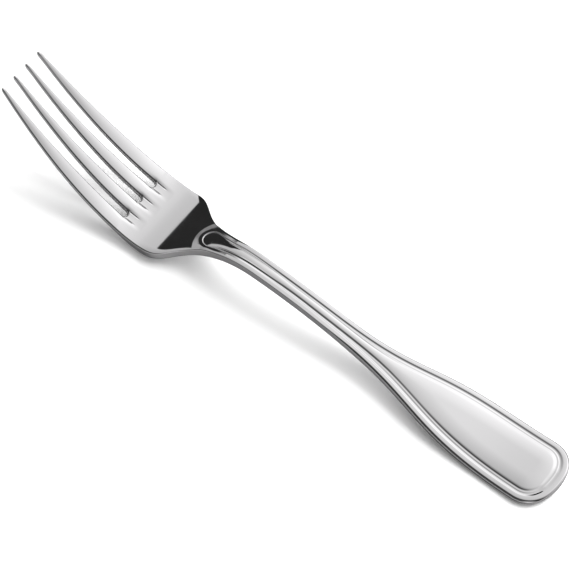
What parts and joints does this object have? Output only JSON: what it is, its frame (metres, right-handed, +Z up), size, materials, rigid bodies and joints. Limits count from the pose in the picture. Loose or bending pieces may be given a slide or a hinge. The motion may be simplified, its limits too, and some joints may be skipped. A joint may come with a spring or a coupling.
{
  "type": "dinner fork",
  "caption": "Dinner fork with long tapering tines, a shallow head and a threaded handle that widens to a rounded end, for spearing and lifting food.",
  "frame": {"origin": "middle of the fork's bounding box, on the table that it lies on", "axes": "+X along the fork from the tine tips to the end of the handle, +Y to the right as the fork is held, +Z up from the table"},
  "size_m": [0.2004, 0.0272, 0.0267],
  "materials": {
    "tines": "mirror polished stainless steel with softly buffed edges",
    "head": "mirror polished stainless steel",
    "handle": "mirror polished stainless steel, pressed with a double thread border"
  },
  "bodies": {
    "root": {"left_outer_tine": "tines", "left_inner_tine": "tines", "right_inner_tine": "tines", "right_outer_tine": "tines", "bowl": "head", "shoulders": "head", "stem": "handle", "handle_end": "handle"}
  },
  "joints": []
}
